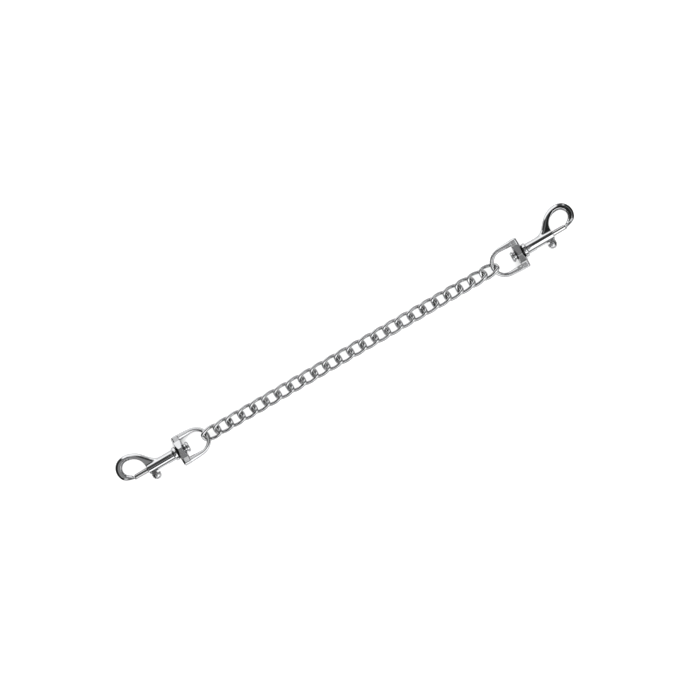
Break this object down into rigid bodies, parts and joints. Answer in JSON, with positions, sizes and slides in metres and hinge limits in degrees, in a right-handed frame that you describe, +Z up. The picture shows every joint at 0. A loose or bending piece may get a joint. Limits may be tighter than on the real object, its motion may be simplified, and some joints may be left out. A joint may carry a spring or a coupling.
{
  "type": "curb chain",
  "caption": "Flat run of twisted wire links with a D-shaped swivel eye and a spring bolt snap at each end; clips under a horse's chin or joins two rings.",
  "frame": {"origin": "the middle of the chain on its centre line, between the two middle links; within about 1 mm of the centroid", "axes": "+X along the chain, +Y across it toward the side the hooks bulge to, +Z up, square to the plane the chain lies flat in"},
  "size_m": [0.4216, 0.0331, 0.014],
  "materials": {
    "link_chrome": "bright plated steel wire",
    "bow_chrome": "bright plated casting, faceted",
    "body_chrome": "bright plated casting, polished",
    "post_chrome": "bright plated turned steel",
    "stud_chrome": "bright plated casting",
    "bolt_steel": "bright plated rod",
    "spring_steel": "plain spring wire"
  },
  "bodies": {
    "link_01": {"link_01": "link_chrome"},
    "link_02": {"link_02": "link_chrome"},
    "link_03": {"link_03": "link_chrome"},
    "link_04": {"link_04": "link_chrome"},
    "link_05": {"link_05": "link_chrome"},
    "link_06": {"link_06": "link_chrome"},
    "link_07": {"link_07": "link_chrome"},
    "link_08": {"link_08": "link_chrome"},
    "link_09": {"link_09": "link_chrome"},
    "link_10": {"link_10": "link_chrome"},
    "link_11": {"link_11": "link_chrome"},
    "link_12": {"link_12": "link_chrome"},
    "link_13": {"link_13": "link_chrome"},
    "link_14": {"link_14": "link_chrome"},
    "link_15": {"link_15": "link_chrome"},
    "link_16": {"link_16": "link_chrome"},
    "link_17": {"link_17": "link_chrome"},
    "link_18": {"link_18": "link_chrome"},
    "link_19": {"link_19": "link_chrome"},
    "link_20": {"link_20": "link_chrome"},
    "link_21": {"link_21": "link_chrome"},
    "link_22": {"link_22": "link_chrome"},
    "link_23": {"link_23": "link_chrome"},
    "link_24": {"link_24": "link_chrome"},
    "bow_left": {"swivel_bow_left": "bow_chrome"},
    "snap_left": {"hook_body_left": "body_chrome", "swivel_post_left": "post_chrome", "bolt_spring_left": "spring_steel"},
    "plunger_left": {"bolt_left": "bolt_steel", "thumb_stud_left": "stud_chrome"},
    "bow_right": {"swivel_bow_right": "bow_chrome"},
    "snap_right": {"hook_body_right": "body_chrome", "swivel_post_right": "post_chrome", "bolt_spring_right": "spring_steel"},
    "plunger_right": {"bolt_right": "bolt_steel", "thumb_stud_right": "stud_chrome"}
  },
  "joints": [
    {"name": "link_13_hinge", "type": "hinge", "parent": "link_12", "child": "link_13", "pos_m": [0.0016, 0, 0], "axis": [0, 0.7071, -0.7071], "range_deg": [-30, 30]},
    {"name": "link_14_hinge", "type": "hinge", "parent": "link_13", "child": "link_14", "pos_m": [0.0096, 0, 0], "axis": [0, 0.7071, 0.7071], "range_deg": [-30, 30]},
    {"name": "link_15_hinge", "type": "hinge", "parent": "link_14", "child": "link_15", "pos_m": [0.024, 0, 0], "axis": [0, -0.7071, 0.7071], "range_deg": [-30, 30]},
    {"name": "link_16_hinge", "type": "hinge", "parent": "link_15", "child": "link_16", "pos_m": [0.032, 0, 0], "axis": [0, -0.7071, -0.7071], "range_deg": [-30, 30]},
    {"name": "link_17_hinge", "type": "hinge", "parent": "link_16", "child": "link_17", "pos_m": [0.0464, 0, 0], "axis": [0, -0.7071, 0.7071], "range_deg": [-30, 30]},
    {"name": "link_18_hinge", "type": "hinge", "parent": "link_17", "child": "link_18", "pos_m": [0.0544, 0, 0], "axis": [0, -0.7071, -0.7071], "range_deg": [-30, 30]},
    {"name": "link_19_hinge", "type": "hinge", "parent": "link_18", "child": "link_19", "pos_m": [0.0688, 0, 0], "axis": [0, 0.7071, -0.7071], "range_deg": [-30, 30]},
    {"name": "link_20_hinge", "type": "hinge", "parent": "link_19", "child": "link_20", "pos_m": [0.0768, 0, 0], "axis": [0, 0.7771, 0.6293], "range_deg": [-30, 30]},
    {"name": "link_21_hinge", "type": "hinge", "parent": "link_20", "child": "link_21", "pos_m": [0.0912, 0, 0], "axis": [0, 0.6293, -0.7771], "range_deg": [-30, 30]},
    {"name": "link_22_hinge", "type": "hinge", "parent": "link_21", "child": "link_22", "pos_m": [0.0992, 0, 0], "axis": [0, 0.8572, 0.515], "range_deg": [-30, 30]},
    {"name": "link_23_hinge", "type": "hinge", "parent": "link_22", "child": "link_23", "pos_m": [0.1136, 0, 0], "axis": [0, -0.515, 0.8572], "range_deg": [-30, 30]},
    {"name": "link_24_hinge", "type": "hinge", "parent": "link_23", "child": "link_24", "pos_m": [0.1216, 0, 0], "axis": [0, -0.9336, -0.3584], "range_deg": [-30, 30]},
    {"name": "link_11_hinge", "type": "hinge", "parent": "link_12", "child": "link_11", "pos_m": [-0.0128, 0, 0], "axis": [0, 0.7071, 0.7071], "range_deg": [-30, 30]},
    {"name": "link_10_hinge", "type": "hinge", "parent": "link_11", "child": "link_10", "pos_m": [-0.0208, 0, 0], "axis": [0, 0.7071, -0.7071], "range_deg": [-30, 30]},
    {"name": "link_09_hinge", "type": "hinge", "parent": "link_10", "child": "link_09", "pos_m": [-0.0352, 0, 0], "axis": [0, -0.7071, -0.7071], "range_deg": [-30, 30]},
    {"name": "link_08_hinge", "type": "hinge", "parent": "link_09", "child": "link_08", "pos_m": [-0.0432, 0, 0], "axis": [0, -0.7071, 0.7071], "range_deg": [-30, 30]},
    {"name": "link_07_hinge", "type": "hinge", "parent": "link_08", "child": "link_07", "pos_m": [-0.0576, 0, 0], "axis": [0, -0.7071, -0.7071], "range_deg": [-30, 30]},
    {"name": "link_06_hinge", "type": "hinge", "parent": "link_07", "child": "link_06", "pos_m": [-0.0656, 0, 0], "axis": [0, -0.7071, 0.7071], "range_deg": [-30, 30]},
    {"name": "link_05_hinge", "type": "hinge", "parent": "link_06", "child": "link_05", "pos_m": [-0.08, 0, 0], "axis": [0, 0.7071, 0.7071], "range_deg": [-30, 30]},
    {"name": "link_04_hinge", "type": "hinge", "parent": "link_05", "child": "link_04", "pos_m": [-0.088, 0, 0], "axis": [0, 0.7314, -0.682], "range_deg": [-30, 30]},
    {"name": "link_03_hinge", "type": "hinge", "parent": "link_04", "child": "link_03", "pos_m": [-0.1024, 0, 0], "axis": [0, 0.682, 0.7314], "range_deg": [-30, 30]},
    {"name": "link_02_hinge", "type": "hinge", "parent": "link_03", "child": "link_02", "pos_m": [-0.1104, 0, 0], "axis": [0, 0.809, -0.5878], "range_deg": [-30, 30]},
    {"name": "link_01_hinge", "type": "hinge", "parent": "link_02", "child": "link_01", "pos_m": [-0.1248, 0, 0], "axis": [0, -0.5878, -0.809], "range_deg": [-30, 30]},
    {"name": "bow_right_hinge", "type": "hinge", "parent": "link_24", "child": "bow_right", "pos_m": [0.1325, 0, 0], "axis": [0, -0.9781, -0.2079], "range_deg": [-60, 60]},
    {"name": "bow_left_hinge", "type": "hinge", "parent": "link_01", "child": "bow_left", "pos_m": [-0.1325, 0, 0], "axis": [0, -0.9272, 0.3746], "range_deg": [-60, 60]},
    {"name": "swivel_right", "type": "hinge", "parent": "bow_right", "child": "snap_right", "pos_m": [0.16, 0, 0], "axis": [1, 0, 0], "continuous": true},
    {"name": "swivel_left", "type": "hinge", "parent": "bow_left", "child": "snap_left", "pos_m": [-0.16, 0, 0], "axis": [-1, 0, 0], "continuous": true},
    {"name": "bolt_slide_right", "type": "slide", "parent": "snap_right", "child": "plunger_right", "axis": [-1, 0, 0], "range_m": [0, 0.0116], "stiffness_N_per_m": 830, "springref_m": -0.004, "deforming": ["bolt_spring_right"]},
    {"name": "bolt_slide_left", "type": "slide", "parent": "snap_left", "child": "plunger_left", "axis": [1, 0, 0], "range_m": [0, 0.0116], "stiffness_N_per_m": 830, "springref_m": -0.004, "deforming": ["bolt_spring_left"]}
  ]
}
